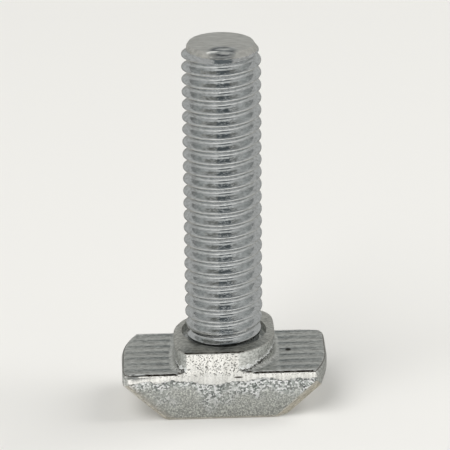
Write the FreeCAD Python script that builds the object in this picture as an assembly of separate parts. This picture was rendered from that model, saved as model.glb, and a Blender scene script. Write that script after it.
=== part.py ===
"""Hammer-head T-slot bolt, M6 x 1 right-hand thread, for an 8 mm slot.

Frame: Z is the bolt's axis, with the head's flat bottom on Z = 0 and the
threaded tip at the top. The head's long side lies along X.
Everything is in millimetres.
"""
import FreeCAD, Part
import math
import os

Vector = FreeCAD.Vector

# Thread and shank
thread_diameter = 6.0
thread_pitch = 1.0
thread_root_diameter = 4.918
blank_diameter = 5.35          # plain rod that the thread is rolled on
shank_length = 25.55           # bearing face to the top of the tip
tip_crown_diameter = 4.9       # slightly domed end
tip_crown_height = 0.18
tip_crown_rings = 2            # the dome is turned in this many sloping rings
tip_chamfer_height = 0.27
tip_end_gap = 0.35             # tip down to where the last crest has sunk to the blank
tip_taper_height = 0.5         # the crests sink over this height
tip_groove_gap = 1.0           # tip down to where the last groove has risen to the blank
tip_fade_height = 0.5          # the groove fades over this height
neck_length = 1.4              # bearing face to where the first crest starts
neck_taper_height = 0.33       # the crests rise over this height
neck_groove_gap = 0.35         # first crest's start up to where the first groove starts
neck_fade_height = 0.7         # the groove deepens over this height
crest_gap = 0.97               # tip down to the crest that passes crest_angle
crest_angle = 180.0            # about Z, measured from +X
thread_overlap = 0.06          # how far the thread's cut ends and the plain core cross

# Head
head_length = 16.0
head_width = 7.9               # slides into an 8 mm slot
head_thickness = 4.0           # bottom to the bearing face
land_height = 0.9              # upright band under the bearing face
bottom_length = 9.55           # flat bottom between the two sloping ends
side_draft = 0.23              # how far each long side leans in below the land
bottom_end_radius = 0.8
bottom_side_radius = 0.3
land_edge_radius = 0.3
end_rim_radius = 0.25
stop_corner_radius = 0.6
stop_edge_bevel = 0.3          # sloping edges under the two square corners
turned_edge_bevel = 0.75       # sloping edges under the two turned corners

# Grip ridges on the bearing face, along the head
ridge_pitch = 1.08
ridge_groove_width = 0.5
ridge_groove_depth = 0.08
ridge_margin = 0.15            # flat bearing face left round the collar's foot

# Square collar under the thread
collar_height = 1.75           # above the bearing face
collar_stop_radius = 1.1
collar_foot_radius = 0.4 
collar_rim_chamfer = 0.12
recess_diameter = 6.6          # ring-shaped recess round the neck
recess_depth = 0.55

head_radius = head_length / 2
half_width = head_width / 2
thread_radius = thread_diameter / 2
root_radius = thread_root_diameter / 2
blank_radius = blank_diameter / 2
collar_top = head_thickness + collar_height
tip_height = head_thickness + shank_length


def rounded_outline(corners, place):
    """Closed wire of lines and arcs. corners: (u, v, radius) in order; place turns (u, v) into a point."""
    count = len(corners)
    trims = []
    for index, (u, v, radius) in enumerate(corners):
        here = Vector(u, v, 0)
        before = Vector(*corners[index - 1][:2], 0) - here
        after = Vector(*corners[(index + 1) % count][:2], 0) - here
        before.normalize()
        after.normalize()
        half_angle = before.getAngle(after) / 2
        reach = radius / math.tan(half_angle)
        middle = (before + after).normalize() * (radius / math.sin(half_angle) - radius)
        trims.append((here + before * reach, here + middle, here + after * reach))
    edges = []
    for index, (start, middle, end) in enumerate(trims):
        if corners[index][2] > 0:
            arc = Part.Arc(*(place(p.x, p.y) for p in (start, middle, end)))
            edges.append(arc.toShape())
        following = trims[(index + 1) % count][0]
        edges.append(Part.makeLine(place(end.x, end.y), place(following.x, following.y)))
    return Part.Wire(edges)


def prism(wire, direction):
    return Part.Face(wire).extrude(direction)


def turning_outline(length, width, stop_radius, z):
    """Rectangle with two opposite corners on a circle about the axis, where the head can turn
    in its slot, and two nearly square corners that stop it after a quarter turn."""
    radius = length / 2
    half = width / 2
    turn_x = math.sqrt(radius ** 2 - half ** 2)
    turn_angle = math.atan2(half, -turn_x)
    edges = []
    for side in (1, -1):
        def at(x, y):
            return Vector(side * x, side * y, z)
        bend = (math.pi + turn_angle) / 2
        edges.append(Part.Arc(at(-turn_x, half),
                              at(radius * math.cos(bend), radius * math.sin(bend)),
                              at(-radius, 0)).toShape())
        edges.append(Part.makeLine(at(-radius, 0), at(-radius, stop_radius - half)))
        mid = stop_radius * (1 - math.sqrt(0.5))
        edges.append(Part.Arc(at(-radius, stop_radius - half),
                              at(-radius + mid, mid - half),
                              at(stop_radius - radius, -half)).toShape())
        edges.append(Part.makeLine(at(stop_radius - radius, -half), at(turn_x, -half)))
    return Part.Wire(edges)


def forged_head():
    """Where three outlines meet: from above, from the front and from the end."""
    land_foot = head_thickness - land_height
    plan = turning_outline(head_length, head_width, stop_corner_radius, 0)
    front = rounded_outline(
        [(-bottom_length / 2, 0, bottom_end_radius), (bottom_length / 2, 0, bottom_end_radius),
         (head_radius, land_foot, land_edge_radius), (head_radius, head_thickness, end_rim_radius),
         (-head_radius, head_thickness, end_rim_radius), (-head_radius, land_foot, land_edge_radius)],
        lambda u, v: Vector(u, -head_width, v))
    bottom_half = half_width - side_draft
    end = rounded_outline(
        [(-bottom_half, 0, bottom_side_radius), (bottom_half, 0, bottom_side_radius),
         (half_width, land_foot, 0), (half_width, head_thickness, 0),
         (-half_width, head_thickness, 0), (-half_width, land_foot, 0)],
        lambda u, v: Vector(-head_length, u, v))
    head = prism(plan, Vector(0, 0, head_thickness))
    head = head.common(prism(front, Vector(0, 2 * head_width, 0)))
    return head.common(prism(end, Vector(2 * head_length, 0, 0)))


def slope_bevels():
    """Wedges that break the four sloping edges between the head's ends and its long sides."""
    foot = Vector(bottom_length / 2, side_draft - half_width, 0)
    rise = Vector(head_radius, -half_width, head_thickness - land_height) - foot
    inward = Vector(-rise.z, 0, rise.x).normalize()
    wedges = []
    for size, mirrored in ((turned_edge_bevel, False), (stop_edge_bevel, True)):
        section = [foot + Vector(0, size, 0), foot + inward * size,
                   foot - inward * size - Vector(0, size, 0)]
        section = [point - rise for point in section]
        wedge = prism(Part.makePolygon(section + section[:1]), rise * 3)
        if mirrored:
            wedge = wedge.mirror(Vector(0, 0, 0), Vector(1, 0, 0))
        wedges.append(wedge)
        opposite = wedge.copy()
        opposite.rotate(Vector(0, 0, 0), Vector(0, 0, 1), 180)
        wedges.append(opposite)
    return wedges


def ridge_grooves():
    """Shallow V grooves that leave flat-topped ridges on both wings."""
    count = int(head_width / ridge_pitch)
    start = half_width + collar_foot_radius + ridge_margin
    run = head_radius - start + 1
    half = ridge_groove_width / 2
    above = head_thickness + 1
    grooves = []
    for index in range(count):
        y = (index - (count - 1) / 2) * ridge_pitch
        left = Vector(start, y - half, head_thickness)
        right = Vector(start, y + half, head_thickness)
        bottom = Vector(start, y, head_thickness - ridge_groove_depth)
        section = [left, bottom, right, Vector(start, y + half, above), Vector(start, y - half, above)]
        groove = prism(Part.makePolygon(section + section[:1]), Vector(run, 0, 0))
        grooves.append(groove)
        grooves.append(groove.mirror(Vector(0, 0, 0), Vector(1, 0, 0)))
    return grooves


def collar():
    """Square neck with two turned corners, a filleted foot and a broken top edge. The fillet is
    made on a wide plate and trimmed to the head, so the collar's flats run down into the head's sides."""
    root = head_thickness - land_height / 2
    plate = Part.makeBox(2 * head_length, 2 * head_length, head_thickness - root,
                         Vector(-head_length, -head_length, root))
    block = prism(turning_outline(head_width, head_width, collar_stop_radius, root),
                  Vector(0, 0, collar_top - root))
    body = plate.fuse(block).removeSplitter()

    def loop(height):
        inside = [e for e in body.Edges
                  if abs(e.BoundBox.ZMin - height) < 1e-6 and abs(e.BoundBox.ZMax - height) < 1e-6
                  and e.BoundBox.DiagonalLength < 2 * head_width]
        return inside
    body = body.makeFillet(collar_foot_radius, loop(head_thickness))
    body = body.makeChamfer(collar_rim_chamfer, loop(collar_top))
    trim = prism(turning_outline(head_length, head_width, stop_corner_radius, root),
                 Vector(0, 0, collar_top))
    reach = half_width + collar_foot_radius + ridge_margin / 2
    trim = trim.common(Part.makeBox(2 * reach, 2 * head_width, collar_top,
                                    Vector(-reach, -head_width, root)))
    return body.common(trim)


def helix(radius, height, turns):
    edge = Part.makeHelix(thread_pitch, turns * thread_pitch, radius)
    edge.translate(Vector(0, 0, height))
    return edge.Edges[0]


def screw_body(bottom, turns):
    """Solid V thread on the axis: two helical flanks a turn, closed at each end by one turn of a
    flat helicoid and a section face."""
    half = thread_pitch / 2
    section = []
    for turn in range(turns):
        level = bottom + turn * thread_pitch
        root = helix(root_radius, level - half, 1)
        crest = helix(thread_radius, level, 1)
        next_root = helix(root_radius, level + half, 1)
        section.append(Part.makeRuledSurface(root, crest))
        section.append(Part.makeRuledSurface(crest, next_root))
    for level in (bottom - half, bottom + turns * thread_pitch - half):
        rim = helix(root_radius, level, 1)
        axis = Part.makeLine(Vector(0, 0, level), Vector(0, 0, level + thread_pitch))
        section.append(Part.makeRuledSurface(rim, axis))
        corners = [Vector(0, 0, level), Vector(root_radius, 0, level),
                   Vector(thread_radius, 0, level + half), Vector(root_radius, 0, level + thread_pitch),
                   Vector(0, 0, level + thread_pitch)]
        section.append(Part.Face(Part.makePolygon(corners + corners[:1])))
    shell = Part.makeShell(section)
    shell.sewShape()
    solid = Part.makeSolid(shell)
    if solid.Volume < 0:
        solid.reverse()
    return solid


def turned(points):
    """Solid of revolution about Z from (radius, height) points, first and last on the axis."""
    wire = Part.makePolygon([Vector(r, 0, z) for r, z in points + points[:1]])
    return Part.Face(wire).revolve(Vector(0, 0, 0), Vector(0, 0, 1), 360)


def shank():
    """Rolled thread on a plain blank: full crests between the neck and the tip, with crests and
    groove both running out to the blank at the two ends."""
    first_crest = head_thickness + neck_length
    last_crest = tip_height - tip_end_gap
    proud = thread_radius - blank_radius
    below_blank = blank_radius - thread_overlap
    neck_slope = neck_taper_height / proud
    tip_slope = tip_taper_height / proud

    middle = (first_crest + last_crest) / 2
    turns = int((last_crest - first_crest) / thread_pitch) + 4
    to_middle = round((tip_height - crest_gap - middle) / thread_pitch + turns / 2)
    thread = screw_body(tip_height - crest_gap - to_middle * thread_pitch, turns)
    thread.rotate(Vector(0, 0, 0), Vector(0, 0, 1), crest_angle)
    bottom = first_crest - thread_overlap * neck_slope
    top = last_crest + thread_overlap * tip_slope
    zone = turned([(0, bottom), (below_blank, bottom),
                   (thread_radius + proud, first_crest + 2 * neck_taper_height),
                   (thread_radius + proud, last_crest - 2 * tip_taper_height),
                   (below_blank, top), (0, top)])
    thread = thread.common(zone)

    groove_start = first_crest + neck_groove_gap
    groove_end = tip_height - tip_groove_gap
    below_root = root_radius - thread_overlap
    fade = (blank_radius - below_root) / (blank_radius - root_radius)
    crown_edge = tip_crown_diameter / 2
    crown_radius = (crown_edge ** 2 + tip_crown_height ** 2) / (2 * tip_crown_height)
    outline = [(0, head_thickness), (blank_radius, head_thickness), (blank_radius, groove_start),
               (below_root, groove_start + fade * neck_fade_height),
               (below_root, groove_end - fade * tip_fade_height), (blank_radius, groove_end),
               (blank_radius, tip_height - tip_crown_height - tip_chamfer_height)]
    for ring in range(tip_crown_rings, -1, -1):
        r = crown_edge * ring / tip_crown_rings
        outline.append((r, tip_height - crown_radius + math.sqrt(crown_radius ** 2 - r ** 2)))
    core = turned(outline)
    return core.fuse(thread)


def bolt():
    head = forged_head().cut(slope_bevels() + ridge_grooves())
    body = head.fuse(collar())
    recess = Part.makeCylinder(recess_diameter / 2, recess_depth + 1,
                               Vector(0, 0, collar_top - recess_depth))
    body = body.cut(recess)
    return body.fuse(shank()).removeSplitter()


os.makedirs("parts", exist_ok=True)
shape = bolt()
shape.exportStep("parts/t_slot_bolt.step")
box = shape.BoundBox
print("t_slot_bolt: valid", shape.isValid(), "solids", len(shape.Solids), "faces", len(shape.Faces))
print("size", round(box.XLength, 3), round(box.YLength, 3), round(box.ZLength, 3),
      "volume", round(shape.Volume, 2))
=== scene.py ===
import bpy
import bmesh
from math import asin, atan2, cos, degrees, pi, radians, sin, sqrt, tan
from mathutils import Matrix, Vector


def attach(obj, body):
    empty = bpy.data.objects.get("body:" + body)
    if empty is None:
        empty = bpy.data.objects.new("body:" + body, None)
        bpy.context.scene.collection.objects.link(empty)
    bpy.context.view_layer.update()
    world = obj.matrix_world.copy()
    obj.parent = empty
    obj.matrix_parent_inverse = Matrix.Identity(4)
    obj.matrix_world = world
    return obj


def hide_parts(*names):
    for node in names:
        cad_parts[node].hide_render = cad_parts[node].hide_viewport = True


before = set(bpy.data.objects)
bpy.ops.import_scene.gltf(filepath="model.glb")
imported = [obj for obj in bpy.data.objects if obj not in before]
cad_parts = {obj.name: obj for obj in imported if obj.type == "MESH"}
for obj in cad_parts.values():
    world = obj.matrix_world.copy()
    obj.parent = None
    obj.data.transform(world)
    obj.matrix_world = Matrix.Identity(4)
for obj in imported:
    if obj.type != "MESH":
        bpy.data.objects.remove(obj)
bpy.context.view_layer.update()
print("frame loaded")

mm = 0.001
near = 0.01      # mm, how closely places are matched when parts of a mesh are picked
hair = 0.0001    # mm, the same right beside a cut, where other points lie close by


# small helpers: one for each thing done by hand over and over

def at(x, y, z):
    return Vector((x, y, z)) * mm


def alone(obj):
    if bpy.context.mode != "OBJECT":
        bpy.ops.object.mode_set(mode="OBJECT")
    bpy.ops.object.select_all(action="DESELECT")
    obj.select_set(True)
    bpy.context.view_layer.objects.active = obj


def startEdit(obj):
    alone(obj)
    bpy.ops.object.mode_set(mode="EDIT")
    bpy.ops.mesh.select_mode(type="VERT")
    bpy.ops.mesh.select_all(action="DESELECT")


def endEdit():
    bpy.ops.object.mode_set(mode="OBJECT")


def pick(kind, test):
    # selects vertices, edges or faces by place, in edit mode
    bpy.ops.mesh.select_mode(type=kind)
    bpy.ops.mesh.select_all(action="DESELECT")
    mesh = bmesh.from_edit_mesh(bpy.context.edit_object.data)
    group = {"VERT": mesh.verts, "EDGE": mesh.edges, "FACE": mesh.faces}[kind]
    for part in group:
        if test(part):
            part.select_set(True)
    mesh.select_flush_mode()
    bmesh.update_edit_mesh(bpy.context.edit_object.data)


def cutPlane(point, normal, keepBoth=False, close=True):
    # bisects the whole mesh and closes the cut, in edit mode
    bpy.ops.mesh.select_all(action="SELECT")
    bpy.ops.mesh.bisect(plane_co=point, plane_no=normal, clear_outer=not keepBoth,
                        use_fill=close and not keepBoth, threshold=hair * mm)


def roundOff(centre, radius, fromAngle, toAngle, steps, plane):
    # rounds a convex edge with tangent cuts; plane is the pair of axes the arc lies in
    for step in range(steps):
        angle = radians(fromAngle + (toAngle - fromAngle) * (step + 0.5) / steps)
        normal = Vector((0, 0, 0))
        normal[plane[0]] = cos(angle)
        normal[plane[1]] = sin(angle)
        middle = Vector((0, 0, 0))
        middle[plane[0]] = centre[0] * mm
        middle[plane[1]] = centre[1] * mm
        cutPlane(middle + normal * radius * mm, normal)


def extrudeRings(rings):
    # carries the picked loop or face through rings of height and half width, in edit mode
    for (fromZ, fromR), (toZ, toR) in zip(rings, rings[1:]):
        bpy.ops.mesh.extrude_region_move(TRANSFORM_OT_translate={"value": at(0, 0, toZ - fromZ)})
        bpy.ops.transform.resize(value=(toR / fromR, toR / fromR, 1), center_override=(0, 0, 0))


def modify(obj, kind, **settings):
    alone(obj)
    change = obj.modifiers.new(kind.lower(), kind)
    for name, value in settings.items():
        setattr(change, name, value)
    bpy.ops.object.modifier_apply(modifier=change.name)


def combine(obj, other, operation):
    modify(obj, "BOOLEAN", object=other, operation=operation, solver="EXACT")
    bpy.data.objects.remove(other)


def settle(obj):
    # puts the place into the mesh
    alone(obj)
    bpy.ops.object.transform_apply(location=True, rotation=True, scale=True)


def addBox(name, low, high):
    size = high - low
    bpy.ops.object.select_all(action="DESELECT")
    bpy.ops.mesh.primitive_cube_add(size=1, location=(low + high) / 2)
    obj = bpy.context.object
    obj.name = name
    obj.scale = size
    settle(obj)
    return obj


# the head: a forged block, every face of it cut back from a box; sizes in mm

head = {
    "length": 16.0,
    "width": 7.9,
    "thickness": 4.0,
    "landHeight": 0.9,
    "bottomLength": 9.55,
    "sideDraft": 0.23,
    "bottomEndRadius": 0.8,
    "bottomSideRadius": 0.3,
    "landEdgeRadius": 0.3,
    "topSideRadius": 0.2,
    "endRimRadius": 0.42,
    "stopCornerRadius": 0.6,
    "stopEdgeBevel": 0.3,
    "turnedEdgeBevel": 0.75,
    # how many cuts round each edge
    "bottomEndCuts": 4,
    "landEdgeCuts": 3,
    "sideCuts": 3,
    "stopCornerCuts": 5,
    "turnedCornerCuts": 10,
    "rimTilts": (18, 45, 72),
}


def roundRim(centre, radius, fromAngle, toAngle, steps):
    # rounds the bearing face's edge along an upright arc
    rim = head["endRimRadius"]
    for step in range(steps):
        angle = radians(fromAngle + (toAngle - fromAngle) * (step + 0.5) / steps)
        out = Vector((cos(angle), sin(angle), 0))
        middle = at(centre[0], centre[1], head["thickness"] - rim) + out * (radius - rim) * mm
        for tilt in head["rimTilts"]:
            normal = out * cos(radians(tilt)) + Vector((0, 0, sin(radians(tilt))))
            cutPlane(middle + normal * rim * mm, normal)


def makeHead():
    radius = head["length"] / 2
    half = head["width"] / 2
    top = head["thickness"]
    landFoot = top - head["landHeight"]
    foot = head["bottomLength"] / 2
    body = addBox("bolt", at(-radius, -half, 0), at(radius, half, top))
    startEdit(body)
    cutPlane(at(0, 0, landFoot), (0, 0, 1), keepBoth=True)
    pick("VERT", lambda v: v.co.z < near * mm)
    bpy.ops.transform.resize(value=(1, 1 - head["sideDraft"] / half, 1), center_override=(0, 0, 0))

    # sloping ends, with their radii to the bottom and to the upright land
    slope = atan2(landFoot, radius - foot)
    turn = degrees(slope)
    for side in (1, -1):
        cutPlane(at(side * foot, 0, 0), (side * sin(slope), 0, -cos(slope)))
        r = head["bottomEndRadius"]
        inset = r * tan(slope / 2)
        roundOff((side * (foot - inset), r), r, -90, -90 + side * turn, head["bottomEndCuts"], (0, 2))
        r = head["landEdgeRadius"]
        inset = r * tan((pi / 2 - slope) / 2)
        start = 0 if side > 0 else 180
        roundOff((side * (radius - r), landFoot + inset), r, start, start - side * (90 - turn),
                 head["landEdgeCuts"], (0, 2))
        # long lower edge
        r = head["bottomSideRadius"]
        roundOff((side * (half - head["sideDraft"] - r), r), r, -90, -90 + side * 90,
                 head["sideCuts"], (1, 2))
        # long upper edge
        r = head["topSideRadius"]
        roundOff((side * (half - r), top - r), r, 90, 90 - side * 90, head["sideCuts"], (1, 2))

    # two corners turned about the axis, two nearly square
    reach = degrees(atan2(half, sqrt(radius ** 2 - half ** 2)))
    r = head["stopCornerRadius"]
    for turn in (0, 180):
        roundOff((0, 0), radius, turn - reach, turn, head["turnedCornerCuts"], (0, 1))
        side = 1 if turn == 0 else -1
        stop = (side * (radius - r), side * (half - r))
        roundOff(stop, r, turn, turn + 90, head["stopCornerCuts"], (0, 1))
        roundRim((0, 0), radius, turn - reach, turn, head["turnedCornerCuts"])
        roundRim(stop, r, turn, turn + 90, head["stopCornerCuts"])

    # flats that break the sloping edges
    point = at(foot, head["sideDraft"] - half, 0)
    rise = at(radius, -half, landFoot) - point
    inward = Vector((-rise.z, 0, rise.x)).normalized()
    for size, mirrored in ((head["turnedEdgeBevel"], 1), (head["stopEdgeBevel"], -1)):
        first = at(0, size, 0)
        normal = rise.cross(first - inward * size * mm).normalized()
        if normal.y > 0:
            normal.negate()
        for turn in (1, -1):
            flip = Vector((turn * mirrored, turn, 1))
            cutPlane((point + first) * flip, normal * flip)
    endEdit()
    print("head cut")
    return body


# the square neck, from here on the collar: a block with a flared foot and a ring recess in its top

collar = {
    "height": 1.75,
    "rise": 0.16,                 # the top climbs to the recess by this much
    "riseWidth": 0.4,
    "stopRadius": 2.1,
    "stopShift": (1.83, 2.25),    # where the stop corner's round is centred
    "turnedRadius": 4.1,
    "turnedShift": 0.17,
    "footRadius": 0.4,
    "footSteps": 5,
    "rimRadius": 0.13,
    "rimSteps": 3,
    "depthInHead": 0.45,
    "turnedCuts": 22,
    "stopCuts": 9,
    "recessDiameter": 6.6,
    "recessDepth": 0.55,
    "recessFloorRadius": 0.12,
    "recessSides": 128,
}


def makeCollar():
    half = head["width"] / 2
    bottom = head["thickness"]
    top = bottom + collar["height"]
    r = collar["footRadius"]
    block = addBox("collar", at(-half, -half, bottom + r), at(half, half, top))
    startEdit(block)
    stopX, stopY = collar["stopShift"]
    turnedReach = degrees(asin(half / collar["turnedRadius"]))
    stopReach = degrees(asin((half - stopY) / collar["stopRadius"]))
    for turn in (0, 180):
        side = 1 if turn == 0 else -1
        roundOff((-side * collar["turnedShift"], 0), collar["turnedRadius"], turn - turnedReach, turn,
                 collar["turnedCuts"], (0, 1))
        roundOff((side * stopX, side * stopY), collar["stopRadius"], turn, turn + stopReach,
                 collar["stopCuts"], (0, 1))
    pick("FACE", lambda f: f.normal.z > 0.9)
    bpy.ops.mesh.region_to_loop()
    bpy.ops.mesh.bevel(offset=collar["rimRadius"] * mm, segments=collar["rimSteps"])
    # the top climbs from its rim to the recess
    pick("FACE", lambda f: f.normal.z > 0.99)
    bpy.ops.mesh.inset(thickness=collar["riseWidth"] * mm, depth=collar["rise"] * mm)

    # the foot flares out in a quarter circle, then goes straight down into the head
    pick("FACE", lambda f: f.normal.z < -0.9)
    turns = [step / collar["footSteps"] * pi / 2 for step in range(collar["footSteps"] + 1)]
    extrudeRings([(bottom + r * (1 - sin(turn)), half + r * (1 - cos(turn))) for turn in turns])
    bpy.ops.mesh.extrude_region_move(TRANSFORM_OT_translate={"value": at(0, 0, -collar["depthInHead"])})
    # on the two flats the flare is pressed back level with the head's long sides
    for side in (1, -1):
        pick("VERT", lambda v: v.co.y * side > half * mm)
        bpy.ops.transform.resize(value=(1, 0, 1), center_override=at(0, side * half, 0))
    endEdit()
    print("collar made")
    return block


# grip ridges: one shallow groove, copied across both wings

ridges = {
    "pitch": 1.08,
    "grooveWidth": 0.84,
    "grooveDepth": 0.06,
    "count": 7,
    "start": 4.2,
    "overrun": 1.0,
    "sides": 48,
}


def makeGrooves():
    half = ridges["grooveWidth"] / 2
    depth = ridges["grooveDepth"]
    radius = (half ** 2 + depth ** 2) / (2 * depth)
    length = head["length"] / 2 - ridges["start"] + ridges["overrun"]
    bpy.ops.object.select_all(action="DESELECT")
    bpy.ops.mesh.primitive_cylinder_add(vertices=ridges["sides"], radius=radius * mm, depth=length * mm,
                                        rotation=(0, pi / 2, 0))
    groove = bpy.context.object
    settle(groove)
    grooves = []
    for side in (1, -1):
        for index in range(ridges["count"]):
            copy = groove.copy()
            copy.data = groove.data.copy()
            bpy.context.scene.collection.objects.link(copy)
            y = (index - (ridges["count"] - 1) / 2) * ridges["pitch"]
            copy.location = at(side * (ridges["start"] + length / 2), y, head["thickness"] - depth + radius)
            grooves.append(copy)
    bpy.data.objects.remove(groove)
    alone(grooves[0])
    for other in grooves:
        other.select_set(True)
    bpy.ops.object.join()
    settle(grooves[0])
    return grooves[0]


# the threaded shank: one pitch of the rolled profile, swept up the bolt

shank = {
    "diameter": 6.0,
    "rootDiameter": 4.918,
    "blankDiameter": 5.35,
    "pitch": 1.0,
    "crestFlat": 0.125,
    "crestSoftness": 0.035,
    "rootSoftness": 0.1,
    "softSteps": 3,
    "flankCuts": 6,
    "length": 25.55,
    "flankAngle": 30,
    "turns": 27,               # three of them past the tip, where they are cut off
    "turnsBelowTip": 24,
    "steps": 96,
    "weld": 0.001,
    "crestBelowTip": 0.97,     # at the -X side
    "tipDiameter": 5.22,
    "neckFoot": 1.25,          # heights above the bearing face
    "neckShoulder": 1.5,
    "neckReach": 3.8,
    "neckShoulderDiameter": 5.68,
    "neckGrooveReach": 2.1,
    "tipEndGap": 0.35,
    "tipTaper": 0.5,
    "tipGrooveGap": 0.75,
    "tipFade": 0.45,
    "crownDiameter": 4.94,
    "crownHeight": 0.12,
    "chamferHeight": 0.22,
    "crownRings": 6,
    "bridgeGap": 0.05,         # from the recess floor up to where the swept thread is cut off
}


def slide(z, lowZ, lowR, highZ, highR):
    share = min(max((z - lowZ) / (highZ - lowZ), 0), 1)
    return lowR + (highR - lowR) * share


def shankLimits(z):
    # smallest and largest radius the thread may have at a height
    outer = shank["diameter"] / 2
    root = shank["rootDiameter"] / 2
    blank = shank["blankDiameter"] / 2
    bearing = head["thickness"]
    tip = bearing + shank["length"]
    if z < (bearing + tip) / 2:
        foot = bearing + shank["neckFoot"]
        shoulder = bearing + shank["neckShoulder"]
        low = shank["neckShoulderDiameter"] / 2
        return (slide(z, foot, blank, bearing + shank["neckGrooveReach"], root),
                min(slide(z, foot, blank, shoulder, outer),
                    slide(z, shoulder, low, bearing + shank["neckReach"], outer)))
    end = tip - shank["tipEndGap"]
    groove = tip - shank["tipGrooveGap"]
    crownFoot = tip - shank["crownHeight"]
    bare = shank["tipDiameter"] / 2
    chamfer = slide(z, crownFoot - shank["chamferHeight"], 0, crownFoot, bare - shank["crownDiameter"] / 2)
    return (slide(z, groove - shank["tipFade"], root, groove, bare) - chamfer,
            slide(z, end - shank["tipTaper"], outer, end, bare) - chamfer)


def drawProfile(crest):
    # one pitch of the thread's section round the crest's height, drawn by extruding one point
    half = shank["pitch"] / 2
    outer = shank["diameter"] / 2
    root = shank["rootDiameter"] / 2
    flat = shank["crestFlat"] / 2
    flank = (outer - root) * tan(radians(shank["flankAngle"]))
    bpy.ops.object.select_all(action="DESELECT")
    bpy.ops.mesh.primitive_plane_add(size=mm)
    rod = bpy.context.object
    rod.name = "shank"
    startEdit(rod)
    bpy.ops.mesh.select_all(action="SELECT")
    bpy.ops.mesh.merge(type="CENTER")
    path = [(root, -half), (root, -flat - flank), (outer, -flat), (outer, flat), (root, flat + flank),
            (root, half)]
    bpy.ops.transform.translate(value=at(path[0][0], 0, crest + path[0][1]))
    for (fromR, fromZ), (toR, toZ) in zip(path, path[1:]):
        bpy.ops.mesh.extrude_region_move(
            TRANSFORM_OT_translate={"value": at(toR - fromR, 0, toZ - fromZ)})
    pick("VERT", lambda v: v.co.x > (outer - near) * mm)
    bpy.ops.mesh.bevel(offset=shank["crestSoftness"] * mm, segments=shank["softSteps"], affect="VERTICES")
    pick("VERT", lambda v: v.co.x < (root + near) * mm and abs(v.co.z - crest * mm) < (half - near) * mm)
    bpy.ops.mesh.bevel(offset=shank["rootSoftness"] * mm, segments=shank["softSteps"], affect="VERTICES")
    # the two long flanks get steps of their own for the run-outs
    pick("EDGE", lambda e: e.calc_length() > flank / 2 * mm)
    bpy.ops.mesh.subdivide(number_cuts=shank["flankCuts"])
    endEdit()
    return rod


def makeShank():
    tip = head["thickness"] + shank["length"]
    crownFoot = tip - shank["crownHeight"]
    recessFloor = head["thickness"] + collar["height"] - collar["recessDepth"]
    firstCrest = tip - shank["crestBelowTip"] - (shank["turnsBelowTip"] + 0.5) * shank["pitch"]
    rod = drawProfile(firstCrest)
    modify(rod, "SCREW", angle=2 * pi, screw_offset=shank["pitch"] * mm, iterations=shank["turns"],
           steps=shank["steps"], render_steps=shank["steps"], use_merge_vertices=True,
           merge_threshold=shank["weld"] * mm, use_smooth_shade=True)
    startEdit(rod)
    bpy.ops.mesh.select_all(action="SELECT")
    bpy.ops.mesh.remove_doubles(threshold=2 * shank["weld"] * mm)
    bpy.ops.mesh.normals_make_consistent(inside=False)
    for level in (head["thickness"] + shank["neckShoulder"], crownFoot - shank["chamferHeight"]):
        cutPlane(at(0, 0, level), (0, 0, 1), keepBoth=True)
    cutPlane(at(0, 0, crownFoot), (0, 0, 1), close=False)
    cutPlane(at(0, 0, recessFloor + shank["bridgeGap"]), (0, 0, -1), close=False)
    endEdit()

    # the run-outs: no operator follows a helix into a cone, so each point is set to its limit
    for point in rod.data.vertices:
        r = sqrt(point.co.x ** 2 + point.co.y ** 2) / mm
        least, most = shankLimits(point.co.z / mm)
        wanted = min(max(r, least), most)
        point.co.x *= wanted / r
        point.co.y *= wanted / r

    # the domed end
    startEdit(rod)
    pick("VERT", lambda v: v.co.z > (crownFoot - hair) * mm)
    edge = shank["crownDiameter"] / 2
    crown = (edge ** 2 + shank["crownHeight"] ** 2) / (2 * shank["crownHeight"])
    reaches = [edge * ring / shank["crownRings"] for ring in range(shank["crownRings"], 0, -1)]
    rings = [(tip - crown + sqrt(crown ** 2 - r ** 2), r) for r in reaches]
    extrudeRings(rings)
    bpy.ops.mesh.extrude_region_move(TRANSFORM_OT_translate={"value": at(0, 0, tip - rings[-1][0])})
    bpy.ops.mesh.merge(type="CENTER")
    endEdit()
    print("shank rolled")
    return rod


def makeRecess(body):
    top = head["thickness"] + collar["height"]
    depth = collar["recessDepth"]
    radius = collar["recessDiameter"] / 2
    bpy.ops.object.select_all(action="DESELECT")
    bpy.ops.mesh.primitive_cylinder_add(vertices=collar["recessSides"], radius=radius * mm,
                                        depth=2 * depth * mm, location=at(0, 0, top))
    cutter = bpy.context.object
    settle(cutter)
    startEdit(cutter)
    pick("FACE", lambda f: f.normal.z < -0.9)
    bpy.ops.mesh.region_to_loop()
    bpy.ops.mesh.bevel(offset=collar["recessFloorRadius"] * mm, segments=collar["rimSteps"])
    endEdit()
    combine(body, cutter, "DIFFERENCE")


def joinShank(body, rod):
    # the recess floor is opened at the blank's radius and bridged to the shank
    floor = head["thickness"] + collar["height"] - collar["recessDepth"]
    inside = collar["recessDiameter"] / 2 - collar["recessFloorRadius"]
    blank = shank["blankDiameter"] / 2
    startEdit(body)
    pick("FACE", lambda f: f.normal.z > 0.999 and abs(f.calc_center_median().z - floor * mm) < near * mm)
    bpy.ops.mesh.inset(thickness=(inside - blank) * mm)
    bpy.ops.mesh.delete(type="FACE")
    endEdit()
    alone(body)
    rod.select_set(True)
    bpy.ops.object.join()
    startEdit(body)

    def openRing(edge):
        ends = [v.co for v in edge.verts]
        fits = all(abs(sqrt(p.x ** 2 + p.y ** 2) - blank * mm) < near * mm for p in ends)
        low = max(p.z for p in ends) < (floor + shank["bridgeGap"] + near) * mm
        return fits and low and len(edge.link_faces) == 1
    pick("EDGE", openRing)
    bpy.ops.mesh.bridge_edge_loops()
    endEdit()
    print("shank joined")


smoothAngle = 28     # degrees; sharper edges than this stay sharp


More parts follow.
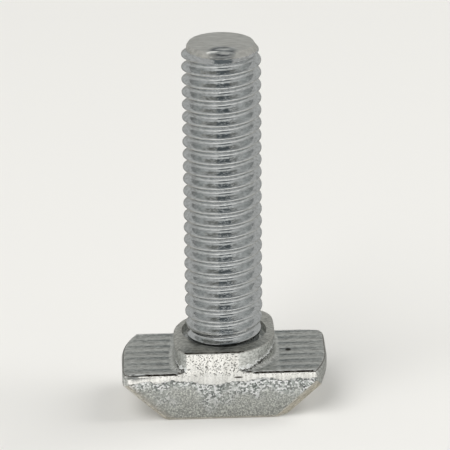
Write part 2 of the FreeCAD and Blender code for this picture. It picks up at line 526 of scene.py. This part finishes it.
def buildBolt():
    body = makeHead()
    combine(body, makeGrooves(), "DIFFERENCE")
    ring = makeCollar()
    makeRecess(ring)
    combine(body, ring, "UNION")
    rod = makeShank()
    joinShank(body, rod)
    alone(body)
    bpy.ops.object.shade_smooth_by_angle(angle=radians(smoothAngle))
    return body


bolt = buildBolt()
print("bolt built, triangles:", sum(len(p.vertices) - 2 for p in bolt.data.polygons))


# materials: sizes in mm, colours as sRGB hex codes

def linear(code):
    parts = [int(code[i:i + 2], 16) / 255 for i in (1, 3, 5)]
    return [c / 12.92 if c <= 0.04045 else ((c + 0.055) / 1.055) ** 2.4 for c in parts] + [1]


def addNode(tree, kind, inputs=None, links=None, stops=None, **settings):
    node = tree.nodes.new("ShaderNode" + kind)
    if stops:
        ramp = node.color_ramp.elements
        while len(ramp) < len(stops):
            ramp.new(0.5)
        for element, (spot, colour) in zip(ramp, stops):
            element.position = spot
            element.color = linear(colour)
    for name, value in settings.items():
        setattr(node, name, value)
    for name, value in (inputs or {}).items():
        node.inputs[name].default_value = value
    for name, (source, socket) in (links or {}).items():
        tree.links.new(source.outputs[socket], node.inputs[name])
    return node


def cells(size):
    # a pattern's scale, from the size of its cells in mm
    return 1 / (size * mm)


def around(middle, reach):
    # Mapping inputs that bring a place and a reach in mm to the middle and the rim of a round gradient
    return {"Location": [-m / r for m, r in zip(middle, reach)], "Scale": [1 / (r * mm) for r in reach]}


def between(pair, unit=1, low=0, high=1):
    # Map Range inputs that give low at the pair's first value and high at its second
    return {"From Min": pair[0] * unit, "From Max": pair[1] * unit, "To Min": low, "To Max": high}


def newMaterial(name):
    material = bpy.data.materials.new(name)
    material.use_nodes = True
    tree = material.node_tree
    tree.nodes.clear()
    return material, tree


def addSurface(tree, inputs, links=None):
    # the shader and the output that end every material
    shader = addNode(tree, "BsdfPrincipled", inputs, links)
    addNode(tree, "OutputMaterial", links={"Surface": (shader, "BSDF")})


def addStripe(tree, source, socket, band):
    # 1 along the middle of a band in mm, falling to 0 at both its edges
    across = addNode(tree, "MapRange", between(band, mm, 0, 2), {"Value": (source, socket)})
    return addNode(tree, "Math", {1: 1}, {0: (across, "Result")}, operation="PINGPONG")


def addWander(tree, place, size, height):
    # a length that wanders up and down by the height, over waves of the size, both in mm;
    # nearly all of a noise's values lie between 0.3 and 0.7
    noise = addNode(tree, "TexNoise", {"Scale": cells(size), "Detail": 1}, {"Vector": (place, "Object")})
    return addNode(tree, "MapRange", between((0.3, 0.7), 1, -height * mm, height * mm),
                   {"Value": (noise, "Fac")}, clamp=False)


def paintSpot(tree, place, tone, spot):
    # one small mark, full in its middle and gone at its rim
    mark = addNode(tree, "Mapping", around(spot["middle"], spot["reach"]), {"Vector": (place, "Object")})
    mark = addNode(tree, "TexGradient", links={"Vector": (mark, "Vector")}, gradient_type="SPHERICAL")
    mark = addNode(tree, "MapRange", {"From Max": spot["soft"]}, {"Value": (mark, "Fac")})
    return addNode(tree, "MixRGB", {"Color2": linear(spot["colour"])},
                   {"Fac": (mark, "Result"), "Color1": (tone, "Color")})


# zinc-plated steel, rolled: burnished by the thread rolls, a satin mirror with fine streaks along the turns

rolled = {
    "grainSize": 0.3846,
    "streak": (1, 1, 3),          # how much finer the grain is along each axis
    "tones": [(0.34, "#BABCBC"), (0.46, "#CBCDCE"), (0.7, "#DBDDDE")],
    "flecks": (0.56, 0.64),       # values of the grain where a raised fleck begins and is full
    "fleckHeight": 0.01,
    "relief": 0.4,
    "roughness": 0.07,
}


def makeRolledZinc():
    material, tree = newMaterial("zincOverRolledThread")
    place = addNode(tree, "TexCoord")
    streak = addNode(tree, "Mapping", {"Scale": rolled["streak"]}, {"Vector": (place, "Object")})
    grain = addNode(tree, "TexNoise", {"Scale": cells(rolled["grainSize"]), "Detail": 2, "Roughness": 0.6},
                    {"Vector": (streak, "Vector")})
    tone = addNode(tree, "ValToRGB", links={"Fac": (grain, "Fac")}, stops=rolled["tones"])
    fleck = addNode(tree, "MapRange", between(rolled["flecks"]), {"Value": (grain, "Fac")})
    bump = addNode(tree, "Bump", {"Strength": rolled["relief"], "Distance": rolled["fleckHeight"] * mm},
                   {"Height": (fleck, "Result")})
    addSurface(tree, {"Metallic": 1, "Roughness": rolled["roughness"]},
               {"Base Color": (tone, "Color"), "Normal": (bump, "Normal")})
    return material


# zinc-plated steel, cold-headed: a dull blasted skin, grey with a slight grain

forged = {
    "grainSize": 0.15385,
    "drawn": (0.35, 1, 1),        # the grain is longest along the head, where the steel flowed
    "tones": [(0.32, "#A4A5A2"), (0.5, "#D0D1CD"), (0.66, "#EFF0EC")],
    "grainHeight": 0.03,
    "relief": 0.3,
    "roughness": 0.33,
    "topTint": "#F3F1EE",         # the collar's top is browner
    "topStart": (5.6, 5.7),
    # a jagged white line climbs round the collar's foot: a painted highlight along its fillet, with a line
    # of painted shade under it
    "climbFrom": (-3.9, -1.5),
    "climb": 0.3,
    "toothSize": 0.2222,
    "toothHeight": 0.9,
    "wallStart": (4.02, 4.07),
    "footShadeBand": (4.5, 4.74),
    "footShadeColour": "#3E3B38",
    "footHighlightBand": (4.66, 4.94),
    "footHighlightColour": "#F2F4F3",
    # a light line beside the wings' long edges: a painted highlight
    "edgeHighlightBand": (3.62, 3.82),
    "edgeHighlightBreaks": (0.42, 0.52),
    "edgeHighlightColour": "#D8D8D5",
    # a thin dark line of painted shade round the wings' ends, inside their rounded rims
    "rimShadeBand": (3.85, 3.95),
    "rimShadeColour": "#5A524B",
    "pit": {"middle": (5.01, 0.19, 4), "reach": (0.3, 0.26, 2), "soft": 0.5, "colour": "#45413D"},
}


def makeForgedZinc():
    material, tree = newMaterial("zincOverForgedHead")
    place = addNode(tree, "TexCoord")
    axes = addNode(tree, "SeparateXYZ", links={"Vector": (place, "Object")})
    drawn = addNode(tree, "Mapping", {"Scale": forged["drawn"]}, {"Vector": (place, "Object")})
    grain = addNode(tree, "TexNoise", {"Scale": cells(forged["grainSize"]), "Detail": 3, "Roughness": 0.7},
                    {"Vector": (drawn, "Vector")})
    bump = addNode(tree, "Bump", {"Strength": forged["relief"], "Distance": forged["grainHeight"] * mm},
                   {"Height": (grain, "Fac")})
    tone = addNode(tree, "ValToRGB", links={"Fac": (grain, "Fac")}, stops=forged["tones"])
    top = addNode(tree, "MapRange", between(forged["topStart"], mm), {"Value": (axes, "Z")})
    tone = addNode(tree, "MixRGB", {"Color2": linear(forged["topTint"])},
                   {"Fac": (top, "Result"), "Color1": (tone, "Color")}, blend_type="MULTIPLY")

    # the painted highlight and painted shade at the foot: height above the head, less the climb to the back,
    # with teeth
    low, high = forged["climbFrom"]
    back = addNode(tree, "MapRange", between((low, high), mm, 0, (high - low) * mm), {"Value": (axes, "Y")})
    height = addNode(tree, "Math", {1: -forged["climb"]}, {0: (back, "Result"), 2: (axes, "Z")},
                     operation="MULTIPLY_ADD")
    teeth = addNode(tree, "TexNoise", {"Scale": cells(forged["toothSize"]), "Detail": 1},
                    {"Vector": (place, "Object")})
    height = addNode(tree, "Math", {1: forged["toothHeight"] * mm},
                     {0: (teeth, "Fac"), 2: (height, "Value")}, operation="MULTIPLY_ADD")
    wall = addNode(tree, "MapRange", between(forged["wallStart"], mm), {"Value": (axes, "Z")})
    # a jagged band of painted highlight round the foot
    footHighlight = addStripe(tree, height, "Value", forged["footHighlightBand"])
    footHighlight = addNode(tree, "Math", links={0: (footHighlight, "Value"), 1: (wall, "Result")}, operation="MULTIPLY")
    # under it, a band of painted shade
    paintedShade = addStripe(tree, height, "Value", forged["footShadeBand"])
    paintedShade = addNode(tree, "Math", links={0: (paintedShade, "Value"), 1: (wall, "Result")}, operation="MULTIPLY")

    # the painted highlight by the long edges is broken up by the grain and stops at the collar
    side = addNode(tree, "Math", links={0: (axes, "Y")}, operation="ABSOLUTE")
    paintedHighlight = addStripe(tree, side, "Value", forged["edgeHighlightBand"])
    broken = addNode(tree, "MapRange", between(forged["edgeHighlightBreaks"]), {"Value": (grain, "Fac")})
    paintedHighlight = addNode(tree, "Math", links={0: (paintedHighlight, "Value"), 1: (broken, "Result")}, operation="MULTIPLY")
    paintedHighlight = addNode(tree, "Math", links={0: (paintedHighlight, "Value"), 1: (wall, "Result")},
                     operation="SUBTRACT", use_clamp=True)
    # painted shade line round the wings' ends
    rim = addStripe(tree, axes, "Z", forged["rimShadeBand"])
    marks = ((paintedShade, "footShadeColour"), (footHighlight, "footHighlightColour"), (paintedHighlight, "edgeHighlightColour"), (rim, "rimShadeColour"))
    for mark, colour in marks:
        tone = addNode(tree, "MixRGB", {"Color2": linear(forged[colour])},
                       {"Fac": (mark, "Value"), "Color1": (tone, "Color")})
    tone = paintSpot(tree, place, tone, forged["pit"])

    # the painted highlights are matt white, so they mirror nothing
    matt = addNode(tree, "Math", links={0: (footHighlight, "Value"), 1: (paintedHighlight, "Value")}, operation="MAXIMUM")
    metal = addNode(tree, "Math", {0: 1}, {1: (matt, "Value")}, operation="SUBTRACT")
    addSurface(tree, {"Roughness": forged["roughness"]},
               {"Base Color": (tone, "Color"), "Normal": (bump, "Normal"), "Metallic": (metal, "Value")})
    return material


# zinc-plated steel, trimmed and blasted: the long sides were sheared white and bright near the top,
# with black specks where the shear tore, and below that they carry a coarse blast grain with painted glints

trimmed = {
    "landDepth": 0.6,             # bright band under the top edge, at the ends
    "landMiddle": 0.36,           # how much further it reaches under the collar
    "middleWidth": 1.7,
    "middleShift": 0.5,
    "landSoft": 0.03,
    "waveSize": 1.923,            # the band's lower edge wanders and is chipped
    "wave": 0.16,
    "chipSize": 0.2857,
    "jag": 0.08,
    "lipBand": (0.02, 0.16),      # shade below that edge
    "lipShade": 0.62,
    "whites": [(0.35, "#E4E3DE"), (0.6, "#FCFBF7")],
    "streakSize": 0.2222,
    "streak": (1, 1, 0.12),
    "speckSize": 0.1,
    "specks": (0.39, 0.46),       # values of the noise where a speck is full and ends
    "speckTone": 0.25,
    "speckBand": (-0.1, 0.3),     # depth over which the specks pale
    "paleSpeck": 0.85,
    "grainSize": 0.12,
    "grainTones": [(0.36, "#A0A19D"), (0.5, "#C2C3BE"), (0.63, "#F0F1EA")],
    "facetSize": 0.1389,
    "glintTones": [(0.0, "#6C706E"), (0.35, "#A6AAA7"), (0.55, "#D6DAD7"), (0.68, "#FFFFFF")],
    "sparkleDepth": 1.2,          # the facets show down to here, then fade
    "sparkleFade": 1.2,
    "sparkleWander": 5,           # times the wave of the bright band's edge
    "smoothBand": (0.8, 0.15),    # distance from the sloping ends over which the grain fades
    "smoothTone": "#C4BFB5",
    "nick": {"middle": (0.92, -3.95, 3.64), "reach": (0.42, 0.5, 0.09), "soft": 0.4, "colour": "#4A4641"},
    "grainHeight": 0.08,
    "reliefGrain": 0.35,
    "reliefLand": 0.1,
    "roughness": 0.28,
}


def addLandLevel(tree, place, axes):
    # depth below the top edge, measured along the bright band's wandering lower edge
    depth = addNode(tree, "Math", {0: head["thickness"] * mm}, {1: (axes, "Z")}, operation="SUBTRACT")
    aside = addNode(tree, "Math", {1: trimmed["middleShift"] * mm}, {0: (axes, "X")}, operation="ADD")
    aside = addNode(tree, "Math", links={0: (aside, "Value")}, operation="ABSOLUTE")
    bulge = addNode(tree, "MapRange",
                    between((0, trimmed["middleWidth"] * 2), mm, trimmed["landMiddle"] * mm, 0),
                    {"Value": (aside, "Value")}, interpolation_type="SMOOTHSTEP")
    wave = addWander(tree, place, trimmed["waveSize"], trimmed["wave"])
    jag = addWander(tree, place, trimmed["chipSize"], trimmed["jag"])
    level = addNode(tree, "Math", links={0: (depth, "Value"), 1: (bulge, "Result")}, operation="SUBTRACT")
    for shift in (wave, jag):
        level = addNode(tree, "Math", links={0: (level, "Value"), 1: (shift, "Result")}, operation="ADD")
    return depth, wave, level


def addBlastGrain(tree, place, axes, grain, wave, level):
    # facets painted in light and dark cells, partly grain tone and partly painted glints, over a dull grain;
    # both gone near the sloping ends
    patchy = addNode(tree, "Math", {1: trimmed["sparkleWander"]},
                     {0: (wave, "Result"), 2: (level, "Value")}, operation="MULTIPLY_ADD")
    start = trimmed["sparkleDepth"]
    sparkle = addNode(tree, "MapRange", between((start, start + trimmed["sparkleFade"]), mm, 1, 0),
                      {"Value": (patchy, "Value")})
    facets = addNode(tree, "TexVoronoi", {"Scale": cells(trimmed["facetSize"])},
                     {"Vector": (place, "Object")})
    facet = addNode(tree, "SeparateColor", links={"Color": (facets, "Color")})
    paintedGlints = addNode(tree, "ValToRGB", links={"Fac": (facet, "Red")}, stops=trimmed["glintTones"])
    dull = addNode(tree, "ValToRGB", links={"Fac": (grain, "Fac")}, stops=trimmed["grainTones"])
    skin = addNode(tree, "MixRGB", links={"Fac": (sparkle, "Result"), "Color1": (dull, "Color"),
                                          "Color2": (paintedGlints, "Color")})
    slant = atan2(head["thickness"] - head["landHeight"], (head["length"] - head["bottomLength"]) / 2)
    reach = head["bottomLength"] / 2 * sin(slant)
    far = addNode(tree, "Math", links={0: (axes, "X")}, operation="ABSOLUTE")
    far = addNode(tree, "Math", {1: sin(slant)}, {0: (far, "Value")}, operation="MULTIPLY")
    far = addNode(tree, "Math", {1: -cos(slant)}, {0: (axes, "Z"), 2: (far, "Value")},
                  operation="MULTIPLY_ADD")
    smooth = addNode(tree, "MapRange", between([reach - edge for edge in trimmed["smoothBand"]], mm),
                     {"Value": (far, "Value")})
    return addNode(tree, "MixRGB", {"Color2": linear(trimmed["smoothTone"])},
                   {"Fac": (smooth, "Result"), "Color1": (skin, "Color")})


def addWhiteLand(tree, place, depth):
    # white upright streaks, with specks that are black at the top edge
    streak = addNode(tree, "Mapping", {"Scale": trimmed["streak"]}, {"Vector": (place, "Object")})
    streak = addNode(tree, "TexNoise", {"Scale": cells(trimmed["streakSize"]), "Detail": 2},
                     {"Vector": (streak, "Vector")})
    white = addNode(tree, "ValToRGB", links={"Fac": (streak, "Fac")}, stops=trimmed["whites"])
    speck = addNode(tree, "TexNoise", {"Scale": cells(trimmed["speckSize"]), "Detail": 2},
                    {"Vector": (place, "Object")})
    speck = addNode(tree, "MapRange", between(trimmed["specks"], 1, trimmed["speckTone"], 1),
                    {"Value": (speck, "Fac")})
    clear = addNode(tree, "MapRange", between(trimmed["speckBand"], mm, 0, trimmed["paleSpeck"]),
                    {"Value": (depth, "Value")})
    speck = addNode(tree, "Math", links={0: (speck, "Result"), 1: (clear, "Result")}, operation="MAXIMUM")
    return addNode(tree, "MixRGB", {"Fac": 1}, {"Color1": (white, "Color"), "Color2": (speck, "Value")},
                   blend_type="MULTIPLY")


def makeTrimmedZinc():
    material, tree = newMaterial("zincOverTrimmedSides")
    place = addNode(tree, "TexCoord")
    axes = addNode(tree, "SeparateXYZ", links={"Vector": (place, "Object")})
    depth, wave, level = addLandLevel(tree, place, axes)
    grain = addNode(tree, "TexNoise", {"Scale": cells(trimmed["grainSize"]), "Detail": 3, "Roughness": 0.6},
                    {"Vector": (place, "Object")})
    skin = addBlastGrain(tree, place, axes, grain, wave, level)
    white = addWhiteLand(tree, place, depth)
    edge = trimmed["landDepth"]
    soft = trimmed["landSoft"]
    land = addNode(tree, "MapRange", between((edge - soft, edge + soft), mm, 1, 0),
                   {"Value": (level, "Value")})
    tone = addNode(tree, "MixRGB", links={"Fac": (land, "Result"), "Color1": (skin, "Color"),
                                          "Color2": (white, "Color")})
    lip = addNode(tree, "MapRange",
                  between([edge + below for below in trimmed["lipBand"]], mm, trimmed["lipShade"], 1),
                  {"Value": (level, "Value")})
    lip = addNode(tree, "Math", links={0: (lip, "Result"), 1: (land, "Result")}, operation="MAXIMUM")
    tone = addNode(tree, "MixRGB", {"Fac": 1}, {"Color1": (tone, "Color"), "Color2": (lip, "Value")},
                   blend_type="MULTIPLY")
    tone = paintSpot(tree, place, tone, trimmed["nick"])
    relief = addNode(tree, "MapRange", between((0, 1), 1, trimmed["reliefGrain"], trimmed["reliefLand"]),
                     {"Value": (land, "Result")})
    bump = addNode(tree, "Bump", {"Distance": trimmed["grainHeight"] * mm},
                   {"Height": (grain, "Fac"), "Strength": (relief, "Result")})
    addSurface(tree, {"Metallic": 1, "Roughness": trimmed["roughness"]},
               {"Base Color": (tone, "Color"), "Normal": (bump, "Normal")})
    return material


# zinc-plated steel, cropped end: a dull domed face, lighter and rougher than the rolled turns

cropped = {
    "grainSize": 0.5,
    "smear": (0.5, 2, 2),         # the blade drew the grain out along X
    "tones": [(0.3, "#A4A39E"), (0.5, "#B9B8B3"), (0.7, "#C6C5C0")],
    # dark streaks of painted shade near one side
    "shadeStreakMiddle": (0, -2, 29.5),
    "shadeStreakReach": (1.45, 1.1, 5),
    "shadeStreakSize": 0.2128,
    "shadeStreakSmear": (0.22, 1, 1),
    "shadeStreakWander": 0.6,
    "shadeStreakEdge": (0.46, 0.72),
    "shadeStreakTones": [(0.4, "#54575A"), (0.5, "#7F8283"), (0.58, "#A3A5A4"), (0.68, "#C6C7C4")],
    # a bright spot of painted highlight beside them
    "paintedHighlight": {"middle": (-0.75, -2.2, 29.5), "reach": (0.5, 0.16, 5), "soft": 0.4, "colour": "#FFFFFA"},
    "grainHeight": 0.04,
    "relief": 0.4,
    "metallic": 0.6,
    "roughness": 0.45,
}


def makeCroppedZinc():
    material, tree = newMaterial("zincOverCroppedEnd")
    place = addNode(tree, "TexCoord")
    smear = addNode(tree, "Mapping", {"Scale": cropped["smear"]}, {"Vector": (place, "Object")})
    grain = addNode(tree, "TexNoise", {"Scale": cells(cropped["grainSize"]), "Detail": 4, "Roughness": 0.65},
                    {"Vector": (smear, "Vector")})
    tone = addNode(tree, "ValToRGB", links={"Fac": (grain, "Fac")}, stops=cropped["tones"])
    # a patch of dark streaks: painted shade
    middle = addNode(tree, "Mapping", around(cropped["shadeStreakMiddle"], cropped["shadeStreakReach"]),
                     {"Vector": (place, "Object")})
    patch = addNode(tree, "TexGradient", links={"Vector": (middle, "Vector")}, gradient_type="SPHERICAL")
    shadeStreak = addNode(tree, "Mapping", {"Scale": cropped["shadeStreakSmear"]}, {"Vector": (place, "Object")})
    shadeStreak = addNode(tree, "TexNoise", {"Scale": cells(cropped["shadeStreakSize"]), "Detail": 2},
                   {"Vector": (shadeStreak, "Vector")})
    patch = addNode(tree, "Math", {1: cropped["shadeStreakWander"]}, {0: (shadeStreak, "Fac"), 2: (patch, "Fac")},
                    operation="MULTIPLY_ADD")
    patch = addNode(tree, "MapRange", between(cropped["shadeStreakEdge"]), {"Value": (patch, "Value")})
    paintedShade = addNode(tree, "ValToRGB", links={"Fac": (shadeStreak, "Fac")}, stops=cropped["shadeStreakTones"])
    tone = addNode(tree, "MixRGB", links={"Fac": (patch, "Result"), "Color1": (tone, "Color"),
                                          "Color2": (paintedShade, "Color")})
    # a spot of painted highlight
    tone = paintSpot(tree, place, tone, cropped["paintedHighlight"])
    bump = addNode(tree, "Bump", {"Strength": cropped["relief"], "Distance": cropped["grainHeight"] * mm},
                   {"Height": (grain, "Fac")})
    addSurface(tree, {"Metallic": cropped["metallic"], "Roughness": cropped["roughness"]},
               {"Base Color": (tone, "Color"), "Normal": (bump, "Normal")})
    return material


# zinc-plated steel on the rounded top edges, painted dark brown-grey: painted shade along the top edges

edgeShade = {
    "grainSize": 0.4,
    "tones": [(0.4, "#3E352F"), (0.52, "#5F564E"), (0.62, "#A5A19A")],
    "roughness": 0.45,
}


def makeEdgeShadeZinc():
    material, tree = newMaterial("zincWithPaintedEdgeShade")
    place = addNode(tree, "TexCoord")
    grain = addNode(tree, "TexNoise", {"Scale": cells(edgeShade["grainSize"]), "Detail": 3},
                    {"Vector": (place, "Object")})
    tone = addNode(tree, "ValToRGB", links={"Fac": (grain, "Fac")}, stops=edgeShade["tones"])
    addSurface(tree, {"Metallic": 1, "Roughness": edgeShade["roughness"]}, {"Base Color": (tone, "Color")})
    return material


# which finish each face gets; sizes in mm, slopes as the share of the face's normal along an axis

zones = {
    "threadSlack": 0.02,
    "flatSlope": 0.97,            # flatter faces are the recess's floor, up to the height
    "flatHeight": 9,
    "croppedHeight": 0.55,        # at the tip
    "edgeShadeSlope": (0.3, 0.98),
    "edgeShadeWidth": 0.18,
    "edgeShadeHeight": 0.12,
    "headSide": 0.95,
    "collarSide": 0.97,
    "sideSlack": 0.05,
}


def finishOf(face):
    centre = face.center / mm
    bearing = head["thickness"]
    collarTop = bearing + collar["height"]
    side = abs(centre.y)
    half = head["width"] / 2
    aboveFloor = centre.z > collarTop - collar["recessDepth"] + shank["bridgeGap"]
    inShank = sqrt(centre.x ** 2 + centre.y ** 2) < shank["diameter"] / 2 + zones["threadSlack"]
    notFlat = face.normal.z < zones["flatSlope"] or centre.z > zones["flatHeight"]
    if aboveFloor and inShank and notFlat:
        return "cropped" if centre.z > bearing + shank["length"] - zones["croppedHeight"] else "rolled"
    # the rounded top edges get the painted edge shade
    rounded = zones["edgeShadeSlope"][0] < face.normal.z < zones["edgeShadeSlope"][1]
    onTop = abs(centre.z - bearing) < zones["edgeShadeHeight"] or centre.z > collarTop - zones["edgeShadeHeight"]
    if rounded and onTop and side > half - zones["edgeShadeWidth"]:
        return "paintedShade"
    upright = zones["headSide"] if centre.z < bearing else zones["collarSide"]
    if abs(face.normal.y) > upright and side > half - head["sideDraft"] - zones["sideSlack"]:
        return "trimmed"
    return "forged"


finishes = {
    "forged": makeForgedZinc(),
    "rolled": makeRolledZinc(),
    "trimmed": makeTrimmedZinc(),
    "cropped": makeCroppedZinc(),
    "paintedShade": makeEdgeShadeZinc(),
}
bolt.data.materials.clear()
for material in finishes.values():
    bolt.data.materials.append(material)
order = list(finishes)
for face in bolt.data.polygons:
    face.material_index = order.index(finishOf(face))
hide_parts("t_slot_bolt")
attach(bolt, "root")
print("materials set")


# floor, light and camera; sizes in metres, directions as shares of a unit vector

studio = {
    "floorSize": 1.6,
    "floorColour": "#EDEBE7",
    "floorRoughness": 0.9,
    "floorShine": 0.1,
    # what the metal mirrors: the table from in front to behind, under it, and a light tent
    "table": [(0.0, "#FDFCF8"), (0.07, "#F6F5F2"), (0.16, "#DDDDDA"), (0.5, "#BCBEBB"), (0.8, "#9A9A97"),
              (1.0, "#90908C")],
    "under": [(0.0, "#C0BDB5"), (0.45, "#ABA69C"), (0.7, "#B7AFA1"), (1.0, "#A9A399")],
    "tent": [(0.0, "#B0B0AE"), (0.6, "#ADADAB"), (1.0, "#ACADAB")],
    "underStart": (-0.47, -0.55),
    "tentStart": (-0.1, 0.2),
    # between left and right, a dark gap over the middle of the tent and a dark shade low in front
    "left": (-0.31, -0.27),
    "right": (0.46, 0.36),
    "gap": "#64696B",
    "gapStart": (0.25, 0.5),
    "gapSlope": -0.3,             # the gap begins lower in front than behind
    "shade": "#6A7072",
    "shadeFront": (-0.2, -0.4),
    "shadeFloor": (-0.78, -0.7),
    "shadeSides": (0.84, 0.78),   # out to here it goes on, half as dark
    "sideShade": 0.5,
    "strength": 1.2,
    # place, size and power of each softbox
    "lamps": {"keyLamp": ((-0.3, -0.3, 0.6), 0.5, 3.2), "fillLamp": ((0.5, 0.1, 0.5), 0.5, 2.2)},
    "lampAim": (0, 0, 0.01),
}


def addFloor():
    bpy.ops.object.select_all(action="DESELECT")
    bpy.ops.mesh.primitive_plane_add(size=studio["floorSize"])
    floor = bpy.context.object
    floor.name = "floor"
    paleFloor, tree = newMaterial("paleFloor")
    addSurface(tree, {"Base Color": linear(studio["floorColour"]), "Roughness": studio["floorRoughness"],
                      "Specular IOR Level": studio["floorShine"]})
    floor.data.materials.append(paleFloor)
    floor.visible_glossy = False      # the metal mirrors the studio all round instead
    return floor


def addStudioWorld():
    world = bpy.data.worlds.new("studio")
    bpy.context.scene.world = world
    world.use_nodes = True
    tree = world.node_tree
    tree.nodes.clear()
    place = addNode(tree, "TexCoord")
    axes = addNode(tree, "SeparateXYZ", links={"Vector": (place, "Generated")})
    behind = addNode(tree, "MapRange", between((-1, 1)), {"Value": (axes, "Y")})
    table = addNode(tree, "ValToRGB", links={"Fac": (behind, "Result")}, stops=studio["table"])
    under = addNode(tree, "ValToRGB", links={"Fac": (behind, "Result")}, stops=studio["under"])
    tent = addNode(tree, "ValToRGB", links={"Fac": (behind, "Result")}, stops=studio["tent"])
    left = addNode(tree, "MapRange", between(studio["left"]), {"Value": (axes, "X")})
    right = addNode(tree, "MapRange", between(studio["right"]), {"Value": (axes, "X")})
    middle = addNode(tree, "Math", links={0: (left, "Result"), 1: (right, "Result")}, operation="MULTIPLY")
    low = addNode(tree, "MapRange", between(studio["underStart"]), {"Value": (axes, "Z")})
    high = addNode(tree, "MapRange", between(studio["tentStart"]), {"Value": (axes, "Z")},
                   interpolation_type="SMOOTHSTEP")

    # the gap
    slope = addNode(tree, "Math", {1: studio["gapSlope"]}, {0: (axes, "Y"), 2: (axes, "Z")},
                    operation="MULTIPLY_ADD")
    over = addNode(tree, "MapRange", between(studio["gapStart"]), {"Value": (slope, "Value")},
                   interpolation_type="SMOOTHSTEP")
    gap = addNode(tree, "Math", links={0: (middle, "Value"), 1: (over, "Result")}, operation="MULTIPLY")

    # the shade
    side = addNode(tree, "Math", links={0: (axes, "X")}, operation="ABSOLUTE")
    side = addNode(tree, "MapRange", between(studio["shadeSides"], 1, 0, studio["sideShade"]),
                   {"Value": (side, "Value")})
    shade = addNode(tree, "Math", links={0: (middle, "Value"), 1: (side, "Result")}, operation="MAXIMUM")
    front = addNode(tree, "MapRange", between(studio["shadeFront"]), {"Value": (axes, "Y")})
    floor = addNode(tree, "MapRange", between(studio["shadeFloor"]), {"Value": (axes, "Z")})
    for limit in (front, floor):
        shade = addNode(tree, "Math", links={0: (shade, "Value"), 1: (limit, "Result")},
                        operation="MULTIPLY")

    under = addNode(tree, "MixRGB", {"Color2": linear(studio["shade"])},
                    {"Fac": (shade, "Value"), "Color1": (under, "Color")})
    sky = addNode(tree, "MixRGB", links={"Fac": (low, "Result"), "Color1": (table, "Color"),
                                         "Color2": (under, "Color")})
    sky = addNode(tree, "MixRGB", links={"Fac": (high, "Result"), "Color1": (sky, "Color"),
                                         "Color2": (tent, "Color")})
    sky = addNode(tree, "MixRGB", {"Color2": linear(studio["gap"])},
                  {"Fac": (gap, "Value"), "Color1": (sky, "Color")})
    light = addNode(tree, "Background", {"Strength": studio["strength"]}, {"Color": (sky, "Color")})
    addNode(tree, "OutputWorld", links={"Surface": (light, "Background")})


def addSoftbox(name, place, size, power):
    bpy.ops.object.light_add(type="AREA", location=place)
    lamp = bpy.context.object
    lamp.name = name
    lamp.data.shape = "SQUARE"
    lamp.data.size = size
    lamp.data.energy = power
    lamp.visible_glossy = False       # the world alone is mirrored
    aim = Vector(studio["lampAim"]) - Vector(place)
    lamp.rotation_euler = aim.to_track_quat("-Z", "Y").to_euler()


# where the photo was taken from: angles in degrees, lengths in mm, and pixels of the square photo

view = {
    "azimuth": -2.474,
    "elevation": 22.215,
    "roll": -0.58,
    "distance": 219.192,
    "focalPixels": 2859.1,
    "frame": 450,
    "aimRight": 0.167,
    "aimHeight": 14.693,
    "sensor": 36,
    "nearest": 10,
    "farthest": 10000,
}


def addCamera():
    az = radians(view["azimuth"])
    el = radians(view["elevation"])
    roll = radians(view["roll"])
    back = Vector((sin(az) * cos(el), -cos(az) * cos(el), sin(el)))
    right = Vector((cos(az), sin(az), 0))
    up = back.cross(right)
    across = right * cos(roll) + up * sin(roll)
    upward = up * cos(roll) - right * sin(roll)
    data = bpy.data.cameras.new("photoCamera")
    data.sensor_width = view["sensor"]
    data.lens = view["focalPixels"] / view["frame"] * view["sensor"]
    data.clip_start = view["nearest"] * mm
    data.clip_end = view["farthest"] * mm
    camera = bpy.data.objects.new("photoCamera", data)
    bpy.context.scene.collection.objects.link(camera)
    spot = at(0, 0, view["aimHeight"]) + right * view["aimRight"] * mm + back * view["distance"] * mm
    turn = Matrix((across, upward, back)).transposed().to_4x4()
    camera.matrix_world = Matrix.Translation(spot) @ turn
    bpy.context.scene.camera = camera


floor = addFloor()
addStudioWorld()
for name, (place, size, power) in studio["lamps"].items():
    addSoftbox(name, place, size, power)
addCamera()
bpy.context.scene.view_settings.view_transform = "Standard"
print("studio set")
